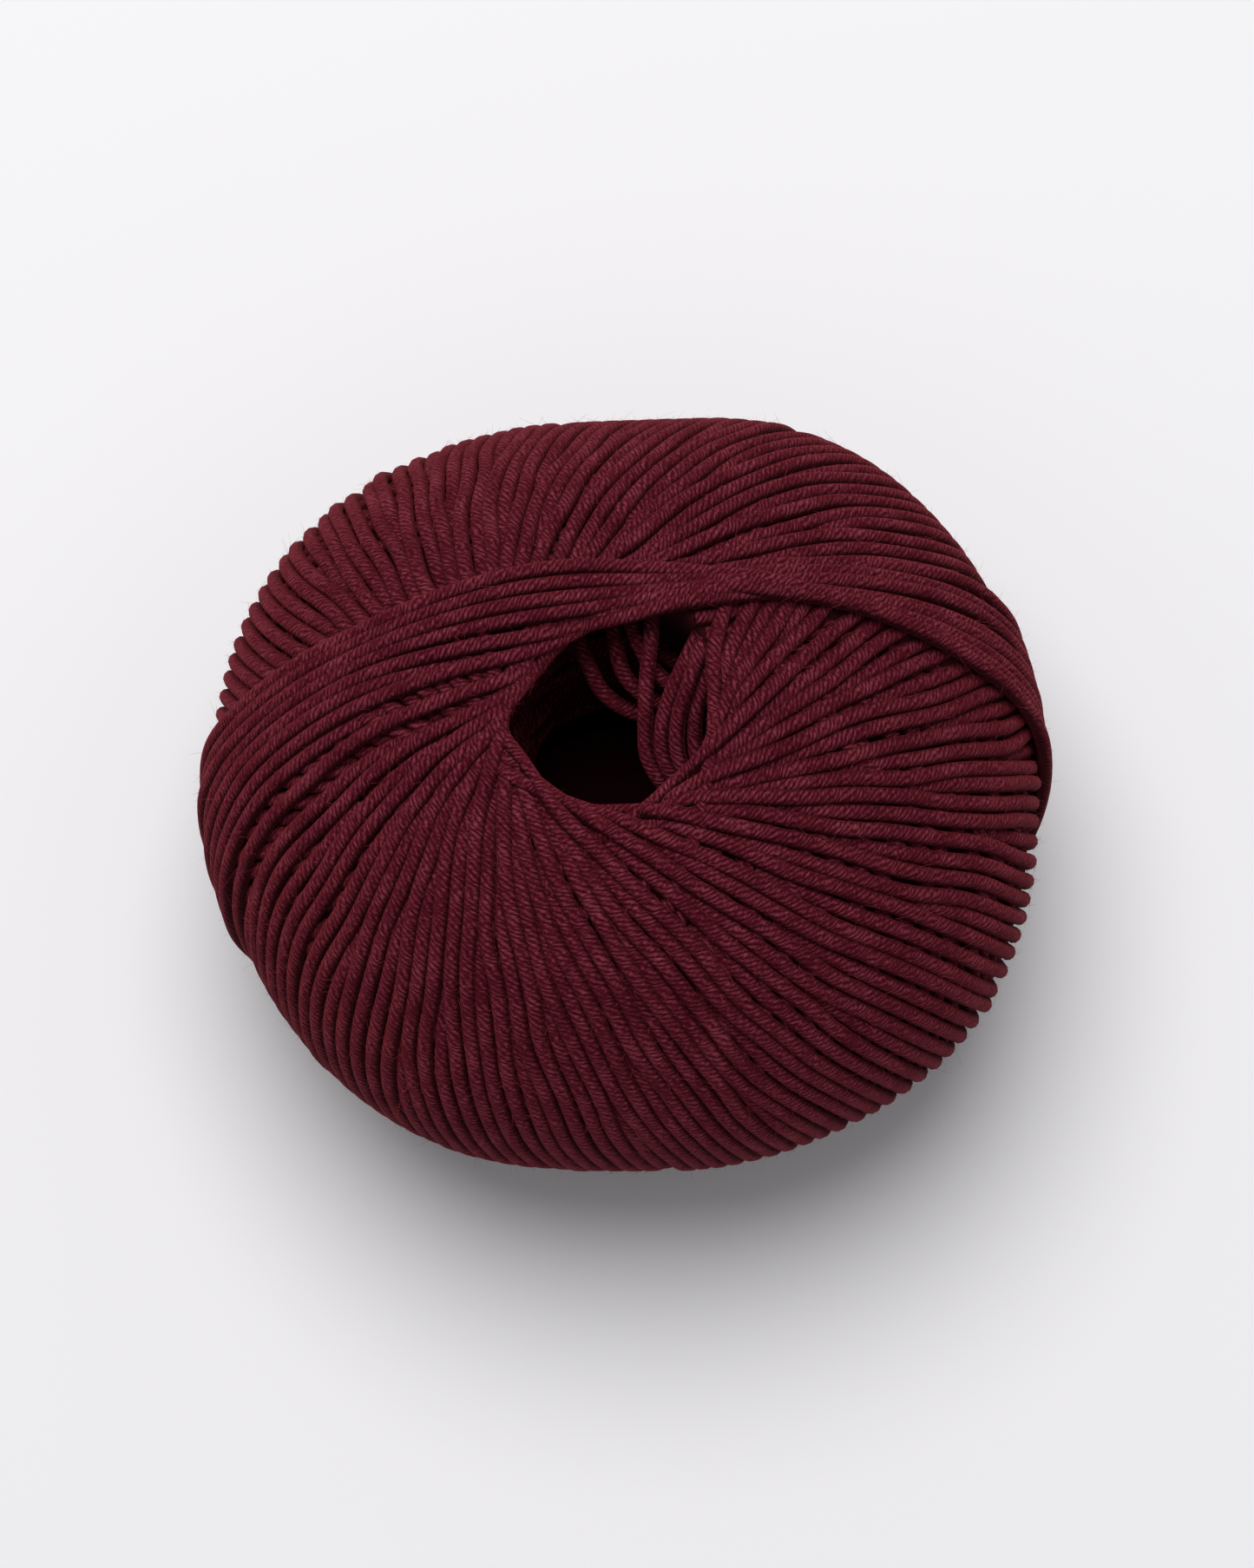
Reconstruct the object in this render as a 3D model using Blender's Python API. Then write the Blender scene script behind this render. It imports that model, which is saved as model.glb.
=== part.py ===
"""A machine-wound ball of merino yarn, lying on its flat spot with its open centre upright.

The wound form is one solid. Its section is turned about the open centre, drawn out to the ball's uneven
outline, and raised into the main bands of turns. Metres, +Z up, origin at the middle of the bounding box's foot.
"""

import math

import bmesh
import bpy
from mathutils import Vector

# The ball
HEIGHT = 0.064
FOOT_RADIUS = 0.016
SHOULDER = 0.85  # 1 is an ellipse, and less is fuller towards the top and the foot
MEAN_RADIUS = 0.0472

# Seen from above: direction in degrees anticlockwise from +X, and distance of the outline
OUTLINE = (
    (0, 0.0480),
    (30, 0.0486),
    (60, 0.0476),
    (90, 0.0433),
    (120, 0.0460),
    (150, 0.0487),
    (180, 0.0480),
    (210, 0.0476),
    (240, 0.0464),
    (270, 0.0438),
    (300, 0.0464),
    (330, 0.0490),
)

# The open centre that the winder's tapered spindle leaves, closed below by the first turns
CENTRE_X = -0.0014
CENTRE_Y = 0.0012
TOP_HOLE_RADIUS = 0.0105
FLOOR_HOLE_RADIUS = 0.0060
FLOOR_HEIGHT = 0.014
FLOOR_CORNER = (0.0025, 0.0030)  # width and depth of a rounded edge
TOP_LIP = (0.0035, 0.0045)

# The winding: each turn is a great circle that passes the pole at this angle
PASS_ANGLE = math.radians(14)
NEWEST_TURN = math.radians(90)  # where the newest turn passes the open centre
BANDS = 24
BAND_HEIGHT = 0.0009
NEWEST_RISE = 0.0012
RISE_START = math.radians(12)
RISE_FADE = math.radians(60)
FADE_START = 0.013  # the bands sink into the rim of the open centre
FADE_END = 0.024
FOOT_FADE = 0.003  # and into the foot

# The last turns, side by side in one raised band that passes wider of the open centre
LAST_BAND_ANGLE = math.radians(18.5)
LAST_BAND_HALF_WIDTH = math.radians(7)
LAST_BAND_EDGE = math.radians(4)
LAST_BAND_RISE = 0.0010

MEAN_RELIEF = 0.0012  # the section lies this far inside the outline, and the bands stand on it

COLUMNS = 120
CORNER_STEPS = 3
SIDE_STEPS = 28
WALL_STEPS = 4

YARN_COLOUR = (0.078, 0.009, 0.016, 1.0)


def smooth_step(value, low, high):
    share = min(max((value - low) / (high - low), 0.0), 1.0)
    return share * share * (3 - 2 * share)


def outline_radius(angle):
    """The outline's distance in this direction, on a smooth closed curve through OUTLINE."""
    place = math.degrees(angle) % 360 / 360 * len(OUTLINE)
    first = int(place)
    share = place - first
    before, start, end, after = (OUTLINE[(first + step) % len(OUTLINE)][1] for step in (-1, 0, 1, 2))
    return 0.5 * (
        2 * start
        + (end - before) * share
        + (2 * before - 5 * start + 4 * end - after) * share**2
        + (3 * start - before - 3 * end + after) * share**3
    )


def corner(centre, size, first_angle, last_angle):
    """Points of a quarter of an ellipse, both ends included."""
    step = (last_angle - first_angle) / CORNER_STEPS
    angles = [first_angle + step * count for count in range(CORNER_STEPS + 1)]
    return [(centre[0] + size[0] * math.cos(a), centre[1] + size[1] * math.sin(a)) for a in angles]


def between(start, end, steps):
    """The points that split a straight line, without its ends."""
    shares = [count / steps for count in range(1, steps)]
    return [(start[0] + (end[0] - start[0]) * s, start[1] + (end[1] - start[1]) * s) for s in shares]


def side_of_ball(half_height, middle, top_start, foot_end):
    """The round side from the top lip to the edge of the foot, without its first point."""
    points = []
    for count in range(1, SIDE_STEPS + 1):
        polar = top_start + (foot_end - top_start) * count / SIDE_STEPS
        drop = math.cos(polar)
        rise = math.copysign(abs(drop) ** SHOULDER, drop)
        points.append((MEAN_RADIUS * math.sin(polar), middle + half_height * rise))
    return points


def section():
    """Radius and height from the middle of the hole's floor, up its wall, over the lip and round to the foot."""
    top_start = math.asin((TOP_HOLE_RADIUS + TOP_LIP[0]) / MEAN_RADIUS)
    foot_end = math.pi - math.asin(FOOT_RADIUS / MEAN_RADIUS)
    top_reach = math.cos(top_start) ** SHOULDER
    foot_reach = abs(math.cos(foot_end)) ** SHOULDER
    half_height = HEIGHT / (top_reach + foot_reach)
    middle = half_height * foot_reach

    floor_corner_centre = (FLOOR_HOLE_RADIUS - FLOOR_CORNER[0], FLOOR_HEIGHT + FLOOR_CORNER[1])
    lip_centre = (TOP_HOLE_RADIUS + TOP_LIP[0], HEIGHT - TOP_LIP[1])
    floor_corner = corner(floor_corner_centre, FLOOR_CORNER, -math.pi / 2, 0)
    lip = corner(lip_centre, TOP_LIP, math.pi, math.pi / 2)
    wall = between(floor_corner[-1], lip[0], WALL_STEPS)
    side = side_of_ball(half_height, middle, top_start, foot_end)
    return [(0.0, FLOOR_HEIGHT)] + floor_corner + wall + lip + side + [(0.0, 0.0)], middle


def turned(points):
    """The section turned once about the open centre."""
    form = bmesh.new()
    verts = [form.verts.new((radius, 0.0, height)) for radius, height in points]
    edges = [form.edges.new(pair) for pair in zip(verts, verts[1:])]
    bmesh.ops.spin(
        form,
        geom=verts + edges,
        cent=(0.0, 0.0, 0.0),
        axis=(0.0, 0.0, 1.0),
        angle=2 * math.pi,
        steps=COLUMNS,
        use_merge=True,
    )
    bmesh.ops.remove_doubles(form, verts=form.verts, dist=1e-6)
    bmesh.ops.recalc_face_normals(form, faces=form.faces)
    return form


def turn_lag(around, polar):
    """How long ago, as an angle, the turn on top at this place was wound. Two families of turns cross there."""
    closeness = math.tan(PASS_ANGLE) / math.tan(polar)
    spread = math.acos(min(max(closeness, -1.0), 1.0))
    return min((around + side * spread - NEWEST_TURN) % (2 * math.pi) for side in (1, -1))


def last_band_share(direction):
    """1 on the last band of turns and 0 away from it."""
    across = Vector((
        -math.cos(LAST_BAND_ANGLE) * math.cos(NEWEST_TURN),
        -math.cos(LAST_BAND_ANGLE) * math.sin(NEWEST_TURN),
        math.sin(LAST_BAND_ANGLE),
    ))
    off = abs(math.asin(min(max(direction.dot(across), -1.0), 1.0)))
    return 1 - smooth_step(off, LAST_BAND_HALF_WIDTH - LAST_BAND_EDGE, LAST_BAND_HALF_WIDTH)


def relief(direction, radius, height):
    """How far the bands of turns stand out here."""
    polar = math.acos(min(max(direction.z, -0.9999), 0.9999))
    lag = turn_lag(math.atan2(direction.y, direction.x), polar)
    ridge = BAND_HEIGHT * abs(math.sin(lag * BANDS / 2))
    rise = NEWEST_RISE * smooth_step(lag, 0.0, RISE_START) * math.exp(-lag / RISE_FADE)
    band = LAST_BAND_RISE * last_band_share(direction)
    from_hole = smooth_step(radius, FADE_START, FADE_END)
    from_foot = smooth_step(height, 0.0, FOOT_FADE)
    return (ridge + max(rise, band)) * from_hole * from_foot


def wind(form, middle):
    """Draws the turned form out to the outline and raises its bands."""
    for vert in form.verts:
        radius = math.hypot(vert.co.x, vert.co.y)
        around = math.atan2(vert.co.y, vert.co.x)
        height = vert.co.z
        outward = smooth_step(radius, FOOT_RADIUS, MEAN_RADIUS)
        stretch = 1 + ((outline_radius(around) - MEAN_RELIEF) / MEAN_RADIUS - 1) * outward
        direction = Vector((vert.co.x, vert.co.y, height - middle)).normalized()
        vert.co.x *= stretch
        vert.co.y *= stretch
        vert.co += direction * relief(direction, radius, height)
        vert.co.x += CENTRE_X * (1 - outward)
        vert.co.y += CENTRE_Y * (1 - outward)


def centre_on_foot(form):
    """Moves the form so that the origin is under the middle of its bounding box."""
    spans = [[vert.co[axis] for vert in form.verts] for axis in (0, 1)]
    shift = [-(min(span) + max(span)) / 2 for span in spans]
    bmesh.ops.translate(form, vec=(shift[0], shift[1], 0.0), verts=form.verts)
    print("the open centre's axis is at", round(CENTRE_X + shift[0], 5), round(CENTRE_Y + shift[1], 5))


def yarn_material():
    material = bpy.data.materials.new("merino_yarn")
    material.use_nodes = True
    shader = material.node_tree.nodes["Principled BSDF"]
    shader.inputs["Base Color"].default_value = YARN_COLOUR
    shader.inputs["Roughness"].default_value = 0.85
    shader.inputs["Metallic"].default_value = 0.0
    return material


def add_yarn_ball():
    points, middle = section()
    form = turned(points)
    wind(form, middle)
    centre_on_foot(form)
    bmesh.ops.triangulate(form, faces=form.faces)
    mesh = bpy.data.meshes.new("yarn_ball")
    form.to_mesh(mesh)
    form.free()
    mesh.shade_smooth()
    mesh.materials.append(yarn_material())
    ball = bpy.data.objects.new("yarn_ball", mesh)
    bpy.context.scene.collection.objects.link(ball)
    return ball


def main():
    for old in list(bpy.data.objects):
        bpy.data.objects.remove(old)
    add_yarn_ball()


main()
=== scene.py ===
# %% [markdown]
# # A wound ball of merino yarn
#
# The object is one long strand of smooth plied yarn, wound by a machine into a ball with an open centre. What
# makes it look like yarn and not like a grooved lump is the order of the turns. Each turn lies beside its
# neighbour and on the ones before it, and disappears under the next. So this lesson winds the ball: it lays
# the turns one after another, keeps the height of the pile as it grows, and sweeps a strand along each turn
# afterwards.

import math

import bpy
import numpy as np
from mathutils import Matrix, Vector


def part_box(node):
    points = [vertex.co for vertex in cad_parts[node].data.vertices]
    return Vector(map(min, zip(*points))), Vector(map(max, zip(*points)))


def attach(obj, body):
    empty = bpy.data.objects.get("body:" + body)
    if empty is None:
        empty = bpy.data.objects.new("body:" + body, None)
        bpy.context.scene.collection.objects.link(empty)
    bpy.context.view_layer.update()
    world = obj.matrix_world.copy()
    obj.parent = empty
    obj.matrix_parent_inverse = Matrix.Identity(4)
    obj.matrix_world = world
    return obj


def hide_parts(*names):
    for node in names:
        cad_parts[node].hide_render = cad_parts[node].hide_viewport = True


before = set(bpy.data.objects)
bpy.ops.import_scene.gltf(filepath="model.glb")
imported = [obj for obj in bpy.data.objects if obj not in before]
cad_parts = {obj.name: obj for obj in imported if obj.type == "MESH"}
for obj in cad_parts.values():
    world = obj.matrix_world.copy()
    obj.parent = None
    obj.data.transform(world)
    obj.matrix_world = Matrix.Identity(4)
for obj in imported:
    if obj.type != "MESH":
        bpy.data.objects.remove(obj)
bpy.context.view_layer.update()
LOW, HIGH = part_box("yarn_ball")
print("the ball's solid spans", [round(1000 * (h - l), 1) for l, h in zip(LOW, HIGH)], "mm")

# %% [markdown]
# ## The ball's form
#
# The turns lie on a smooth form, which is the solid without its bands. A direction from the middle of the
# ball names a place on it: an angle around and a polar angle down from the top. The outline seen from above
# is uneven, as yarn is soft, so its radius follows a short table, with one radius for every 30 degrees.

# %% Sizes of the form, in metres
HEIGHT = HIGH[2] - LOW[2]
MEAN_RADIUS = 0.0472
SHOULDER = 0.85  # 1 is an ellipse, and less is fuller towards the top and the foot
FOOT_RADIUS = 0.016
TOP_RADIUS = 0.014
HOLE_RADIUS = 0.0090
LIP_WIDTH = 0.0040
LIP_DROP = 0.0030
CENTRE = (-0.00138, 0.00126)
FORM_INSET = 0.0008  # the turns stand on the form, so it lies this far inside the outline
OUTLINE_RADII = (
    0.0480, 0.0486, 0.0476, 0.0433, 0.0460, 0.0487, 0.0480, 0.0476, 0.0464, 0.0438, 0.0464, 0.0490,
)


# %% Helpers for smooth shapes
def smooth_step(value, low, high):
    """0 below low, 1 above high, and an even slope between them."""
    share = np.clip((value - low) / (high - low), 0.0, 1.0)
    return share * share * (3 - 2 * share)


def rise_and_fall(value, marks):
    """1 between the two inner marks and 0 outside the two outer ones."""
    return smooth_step(value, marks[0], marks[1]) * (1 - smooth_step(value, marks[2], marks[3]))


def unit(vectors):
    """The vectors, scaled to length 1."""
    return vectors / np.maximum(np.linalg.norm(vectors, axis=-1, keepdims=True), 1e-9)


def outline_radius(around):
    """The outline's distance in this direction, on a smooth closed curve through the table."""
    radii = np.array(OUTLINE_RADII)
    count = len(radii)
    place = np.degrees(around) % 360 / 360 * count
    first = np.floor(place).astype(int)
    share = place - first
    before, start, end, after = (radii[(first + step) % count] for step in (-1, 0, 1, 2))
    return 0.5 * (
        2 * start
        + (end - before) * share
        + (2 * before - 5 * start + 4 * end - after) * share**2
        + (3 * start - before - 3 * end + after) * share**3
    )


# %% A place on the form for each direction
GATHER_START = math.radians(125)
GATHER_END = math.radians(166)
GATHER = math.radians(8)  # the turns round the foot are drawn in by this much
TOP_REACH = math.cos(math.asin(TOP_RADIUS / MEAN_RADIUS)) ** SHOULDER
FOOT_REACH = math.cos(math.asin(FOOT_RADIUS / MEAN_RADIUS)) ** SHOULDER
HALF_HEIGHT = HEIGHT / (TOP_REACH + FOOT_REACH)
MIDDLE = HALF_HEIGHT * FOOT_REACH


def form_point(direction):
    """The point of the form in each direction, which is an array of unit vectors."""
    around = np.arctan2(direction[:, 1], direction[:, 0])
    polar = np.arccos(np.clip(direction[:, 2], -1, 1))
    polar = polar + GATHER * smooth_step(polar, GATHER_START, GATHER_END)
    radius = MEAN_RADIUS * np.sin(polar)
    outward = smooth_step(radius, FOOT_RADIUS, MEAN_RADIUS)
    stretch = 1 + ((outline_radius(around) - FORM_INSET) / MEAN_RADIUS - 1) * outward
    drop = np.cos(polar)
    height = MIDDLE + HALF_HEIGHT * np.sign(drop) * np.abs(drop) ** SHOULDER
    into_hole = np.clip((HOLE_RADIUS + LIP_WIDTH - radius) / LIP_WIDTH, 0, 2) * (drop > 0)
    height = np.maximum(height - LIP_DROP * into_hole**2, 0.0)
    return np.stack([
        radius * stretch * np.cos(around) + CENTRE[0] * (1 - outward),
        radius * stretch * np.sin(around) + CENTRE[1] * (1 - outward),
        height,
    ], axis=1)


def form_normal(direction):
    """The outward normal of the form in each direction."""
    east = unit(np.cross(np.array([0.0, 0.0, 1.0]), direction))
    north = np.cross(direction, east)
    step = 0.01
    across, along = (
        form_point(turned_by(direction, way, step)) - form_point(turned_by(direction, way, -step))
        for way in (east, north)
    )
    return unit(np.cross(across, along))


def turned_by(direction, towards, angle):
    """The unit vectors, turned by a small angle towards others at right angles to them."""
    angle = np.asarray(angle)
    if angle.ndim:
        angle = angle[:, None]
    return direction * np.cos(angle) + towards * np.sin(angle)


poles = form_point(np.array([[1.0, 0, 0.001], [0, 1.0, 0.001], [0.25, 0, 0.968]]))
print("the form reaches", np.round(1000 * poles, 1).tolist(), "mm")

# %% [markdown]
# ## The path of one turn
#
# A winder lays each turn as a circle round the ball, tilted so that it just misses the spindle. On a round
# ball that is a great circle whose nearest point to the pole is the pass angle away. The next turn passes the
# spindle a little further round, so the turns fan out from the open centre. The winding is worked out on a
# plain sphere, in millimetres, and carried to the form at the end. A turn's age counts the turns laid after
# it, so the newest is 0. The open centre isn't quite round, so the pass angle has a table, with one angle in
# degrees for every 30 degrees round it. The newest turns pass wider of it, and have a table of their own.

# %% Sizes of the winding, in millimetres
SPHERE = 46.0
STRAND = 1.80
TURNS_IN_A_ROUND = 133
TURNS = 240
PASS_ANGLES = (13.3, 16.0, 16.6, 13.4, 12.4, 13.8, 14.8, 13.8, 12.6, 11.8, 11.7, 12.2)
MEAN_PASS_ANGLE = 13.0
PASS_NOISE = 0.12  # in degrees
STEP_NOISE = 0.02  # as a share of the step from turn to turn
WIND_SEED = 3
LAST_PASS_ANGLES = (20.9, 18.9, 17.0, 15.1, 13.2)
LAST_TURNS = len(LAST_PASS_ANGLES)
BAND_TURNS = LAST_TURNS + 3  # the last turns and the three before them
LAST_ADVANCE = 1.05
NEWEST_AT = math.pi / 2
STEPS_IN_A_TURN = 240
TURN_STEP = 2 * math.pi * SPHERE / STEPS_IN_A_TURN
PLACES = (np.arange(STEPS_IN_A_TURN) / STEPS_IN_A_TURN - 0.5) * 2 * math.pi
ADVANCE = 2 * math.pi / TURNS_IN_A_ROUND


# %% Where each turn passes the open centre
def usual_pass_angle(around):
    """The pass angle in degrees for each direction round the open centre, read smoothly from its table."""
    count = len(PASS_ANGLES)
    place = np.asarray(around) / (2 * math.pi) * count
    first = np.floor(place).astype(int)
    share = smooth_step(place - first, 0, 1)
    table = np.array(PASS_ANGLES)
    return table[first % count] * (1 - share) + table[(first + 1) % count] * share


random = np.random.default_rng(WIND_SEED)
AGES = np.arange(TURNS)
steps = ADVANCE * (1 + STEP_NOISE * random.normal(size=TURNS))
steps[:LAST_TURNS] *= LAST_ADVANCE
PASS_AT = NEWEST_AT + np.cumsum(steps) - steps[0]
PASS_BY = usual_pass_angle(PASS_AT) + PASS_NOISE * random.normal(size=TURNS)
PASS_BY[:LAST_TURNS] = LAST_PASS_ANGLES
PASS_BY = np.radians(PASS_BY)
print("the turns pass the pole at", np.round(np.degrees([PASS_BY.min(), PASS_BY.max()]), 1), "degrees")


# %% The three directions of a turn
def turn_frame(pass_at, pass_angle):
    """Unit vectors along the turn where it passes the pole, out to that point, and across the turn."""
    level = 0 * pass_at
    along = np.stack([-np.sin(pass_at), np.cos(pass_at), level], -1)
    near, far = np.sin(pass_angle), np.cos(pass_angle)
    out = np.stack([near * np.cos(pass_at), near * np.sin(pass_at), far + level], -1)
    across = np.stack([-far * np.cos(pass_at), -far * np.sin(pass_at), near + level], -1)
    return along, out, across


def turn_path(pass_at, pass_angle, shift):
    """Directions of the points of one turn, moved sideways by shift millimetres."""
    along, out, across = turn_frame(pass_at - ADVANCE * PLACES / (2 * math.pi), pass_angle)
    path = np.cos(PLACES)[:, None] * out + np.sin(PLACES)[:, None] * along
    return turned_by(path, across, shift / SPHERE)


def place_on_turn(direction, pass_at, pass_angle):
    """How far each direction lies beside a turn, in millimetres, and at which of its steps."""
    along, out, across = turn_frame(np.array([pass_at]), pass_angle)
    rough = np.arctan2(direction @ along[0], direction @ out[0])
    along, out, across = turn_frame(pass_at - ADVANCE * rough / (2 * math.pi), pass_angle)
    aside = SPHERE * np.arcsin(np.clip((direction * across).sum(1), -1, 1))
    angle = np.arctan2((direction * along).sum(1), (direction * out).sum(1))
    return aside, (angle / (2 * math.pi) + 0.5) * STEPS_IN_A_TURN


# %% [markdown]
# ## A map of the pile
#
# The height of the pile is kept on a grid over the sphere, in columns around and rows down. Instead of the
# surface itself, the map holds how high the middle of a new strand would rest at each place. A strand already
# there raises that height over twice its own radius to each side.

# %% The grid
COLUMNS, ROWS = 1160, 580
AROUND = (np.arange(COLUMNS) + 0.5) / COLUMNS * 2 * math.pi
POLAR = (np.arange(ROWS) + 0.5) / ROWS * math.pi
CELLS = np.stack([
    np.sin(POLAR)[:, None] * np.cos(AROUND)[None, :],
    np.sin(POLAR)[:, None] * np.sin(AROUND)[None, :],
    np.cos(POLAR)[:, None] + 0 * AROUND[None, :],
], axis=-1).reshape(-1, 3)
ROW_WIDTH = math.pi * SPHERE / ROWS
print("the map has", len(CELLS), "cells of", round(ROW_WIDTH, 2), "mm")


# %% Reading and smoothing the map
def read_map(grid, direction):
    """The map's value in each direction, between its cells."""
    column = np.arctan2(direction[:, 1], direction[:, 0]) % (2 * math.pi) / (2 * math.pi) * COLUMNS - 0.5
    row = np.clip(np.arccos(np.clip(direction[:, 2], -1, 1)) / math.pi * ROWS - 0.5, 0, ROWS - 1.001)
    left, upper = np.floor(column).astype(int), row.astype(int)
    east, south = column - left, row - upper
    cells = grid.reshape(ROWS, COLUMNS)
    above = cells[upper, left % COLUMNS] * (1 - east) + cells[upper, (left + 1) % COLUMNS] * east
    below = cells[upper + 1, left % COLUMNS] * (1 - east) + cells[upper + 1, (left + 1) % COLUMNS] * east
    return above * (1 - south) + below * south


def blurred(grid, width):
    """The map, smoothed over a width in millimetres, the same everywhere on the sphere."""
    cells = grid.reshape(ROWS, COLUMNS)
    waves = np.fft.rfftfreq(COLUMNS, 1.0 / COLUMNS)
    angle = np.minimum(width / np.maximum(SPHERE * np.sin(POLAR), 1e-3), 1.5)
    damping = np.exp(-0.5 * (waves[None, :] * angle[:, None]) ** 2)
    cells = np.fft.irfft(np.fft.rfft(cells, axis=1) * damping, COLUMNS, axis=1)
    pad = int(3 * width / ROW_WIDTH)
    tall = np.concatenate([cells[pad:0:-1], cells, cells[-2 : -pad - 2 : -1]], 0)
    waves = 2 * math.pi * np.fft.rfftfreq(len(tall), ROW_WIDTH)
    damping = np.exp(-0.5 * (waves * width) ** 2)[:, None]
    tall = np.fft.irfft(np.fft.rfft(tall, axis=0) * damping, len(tall), axis=0)
    return tall[pad : pad + ROWS].reshape(-1)


def smoothed_turn(values, width):
    """Values along one turn, smoothed over a width in millimetres."""
    waves = 2 * math.pi * np.fft.rfftfreq(STEPS_IN_A_TURN, TURN_STEP)
    return np.fft.irfft(np.fft.rfft(values) * np.exp(-0.5 * (waves * width) ** 2), STEPS_IN_A_TURN)


# %% [markdown]
# ## Which turns stay on top
#
# Near the middle of its way round, a turn lies beside the one before it. Towards the open centre the turns
# crowd, and there isn't room for all of them side by side. Some are squeezed out and run on underneath, each
# at its own distance from the centre. Every turn gets a rank, and it stays on top as far in as the room there
# allows for its rank. Ranks stepped by the golden ratio spread the squeezed turns evenly. One turn near the
# newest is kept on top, and the old turns at one corner of the open centre are squeezed out early, so that
# the loose strands show there. The two tables of slides move the newest turns aside by so many millimetres,
# behind and beyond the place where they pass the open centre. Such places are given in radians along a turn.

# %% Rank and room
RANK_SEED = 5
PITCH = 2.18  # a turn on top takes this much room, in millimetres
RANK_REACH = 0.95
RANK_SAMPLES = 400
SQUEEZE = 0.10  # over this share of the room a turn goes from on top to underneath
EASE = 4.0  # sideways moves are spread over this length
DRIFT_WINDOW = 20  # moves are measured from the mean of this many turns on each side
RANK_NOISE = 0.03
LEAST_ROOM = 0.085
SLIDES_BEHIND = (-0.8, -0.6, -0.2, 0.3, 0.8, 1.2, 1.0, 0.6)
SLIDES_BEYOND = (-3.4, -1.9, -0.5, 0.8, 1.9, 2.4, 2.6, 2.6, 2.4, 2.1, 1.8, 1.5, 1.2, 0.9, 0.6, 0.3)
GOLDEN = 0.6180339887
FIRST_RANK = 0.35
KEPT_TURN = 8
KEPT_RANK = 0.12
OPEN_CORNER = (350, 97)  # from one direction to the other, in degrees
OPEN_CORNER_AGE = 60
OPEN_CORNER_RANK = 0.27
BEHIND_PASS = (0.14, 0.52, 0.85, 1.40)
BEYOND_PASS = (0.05, 0.70, 0.95, 1.60)
SHIFT_AGES = (2, 10)

random = np.random.default_rng(RANK_SEED)
RANKS = (AGES * GOLDEN + FIRST_RANK + RANK_NOISE * random.normal(size=TURNS)) % 1.0
RANKS[:LAST_TURNS] = 0.0
RANKS[KEPT_TURN] = KEPT_RANK
passes_at = np.degrees(NEWEST_AT + ADVANCE * AGES) % 360
in_corner = (AGES > OPEN_CORNER_AGE) & ((passes_at > OPEN_CORNER[0]) | (passes_at < OPEN_CORNER[1]))
RANKS[in_corner] = np.maximum(RANKS[in_corner], OPEN_CORNER_RANK)
natural_pitch = ADVANCE * SPHERE * math.cos(math.radians(MEAN_PASS_ANGLE)) * np.abs(np.sin(PLACES))
ROOM = natural_pitch / PITCH


def share_on_top(room, rank):
    """1 where a turn of this rank lies on top, and less where it is being squeezed out."""
    return smooth_step(room - RANK_REACH * rank, -SQUEEZE / 2, SQUEEZE / 2)


widths = share_on_top(ROOM[None, :], RANKS[:, None])
even_ranks = (np.arange(RANK_SAMPLES) + 0.5) / RANK_SAMPLES
mean_width = share_on_top(ROOM[None, :], even_ranks[:, None]).mean(0)
crowding = np.cumsum(widths - mean_width, axis=0) - widths / 2
window = np.ones(2 * DRIFT_WINDOW + 1) / (2 * DRIFT_WINDOW + 1)
crowding -= np.array([
    np.convolve(np.pad(column, DRIFT_WINDOW, "edge"), window, "valid") for column in crowding.T
]).T
real_pitch = natural_pitch / mean_width
SHIFTS = np.array([smoothed_turn(shift, EASE) for shift in np.sign(PLACES) * real_pitch * crowding])
SHIFTS *= smooth_step(AGES, *SHIFT_AGES)[:, None]
for age, slide in enumerate(SLIDES_BEHIND):
    SHIFTS[age] -= slide * rise_and_fall(-PLACES, BEHIND_PASS)
for age, slide in enumerate(SLIDES_BEYOND):
    SHIFTS[age] -= slide * rise_and_fall(PLACES, BEYOND_PASS)
ON_TOP = share_on_top(np.maximum(ROOM, LEAST_ROOM)[None, :], RANKS[:, None])


# %% [markdown]
# ## Keeping the turns apart
#
# Two turns that lie on top can't lie closer than a strand's width. Where two neighbours do, both move aside a
# little, and this is repeated until nearly all of them have their own width. Near the open centre and on the
# far side the turns are meant to cross, so nothing moves there. The newest turns stay where they are as well.

# %% Pushing neighbours aside
CLOSEST = 1.85  # in millimetres
APART_ROUNDS = 8
NEIGHBOURS = (1, 2, 3)
PUSH_SHARE = 0.3
PUSH_LIMIT = 1.2
PUSH_EASE = 2.5
PUSH_AGES = (18, 30)  # newer turns stay, and older ones move freely
PUSH_WIDTHS = (0.3, 0.8)
FROM_PASS = (0.35, 0.60)
FROM_FAR_SIDE = (0.18, 0.40)
places_pushed = smooth_step(np.abs(PLACES), *FROM_PASS)
places_pushed *= smooth_step(math.pi - np.abs(PLACES), *FROM_FAR_SIDE)


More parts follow.
